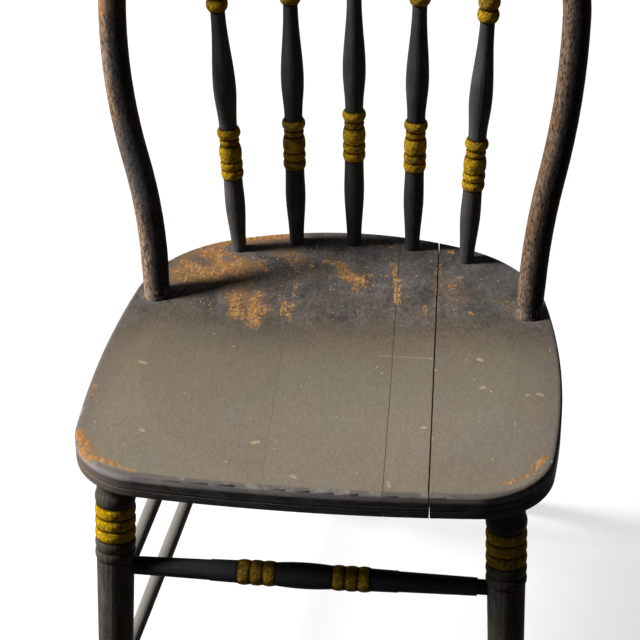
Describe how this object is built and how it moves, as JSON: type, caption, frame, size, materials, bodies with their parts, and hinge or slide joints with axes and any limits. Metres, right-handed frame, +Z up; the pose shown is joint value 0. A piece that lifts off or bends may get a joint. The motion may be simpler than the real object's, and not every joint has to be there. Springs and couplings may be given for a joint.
{
  "type": "side chair",
  "caption": "Small antique plank-seat side chair with a bent bow back, turned spindles and ring-turned front legs, in worn charcoal paint with mustard-yellow rings.",
  "frame": {"origin": "on the floor, under the middle of the chair's box", "axes": "+Z up, the chair faces -Y, +X to the right as one looks at its front"},
  "size_m": [0.4426, 0.5112, 0.7927],
  "materials": {
    "seat_paint": "worn charcoal paint over wood, satin, rubbed to warm grey on the seat",
    "frame_paint": "worn charcoal-black paint over wood, satin, with mustard-yellow turned rings"
  },
  "bodies": {
    "root": {"seat_board_left": "seat_paint", "seat_board_centre": "seat_paint", "seat_board_narrow": "seat_paint", "seat_board_right": "seat_paint", "back_bow": "frame_paint", "spindle_outer_left": "frame_paint", "spindle_inner_left": "frame_paint", "spindle_centre": "frame_paint", "spindle_inner_right": "frame_paint", "spindle_outer_right": "frame_paint", "front_leg_left": "frame_paint", "front_leg_right": "frame_paint", "rear_leg_left": "frame_paint", "rear_leg_right": "frame_paint", "front_stretcher": "frame_paint", "side_stretcher_upper_left": "frame_paint", "side_stretcher_upper_right": "frame_paint", "side_stretcher_lower_left": "frame_paint", "side_stretcher_lower_right": "frame_paint", "rear_stretcher": "frame_paint"}
  },
  "joints": []
}
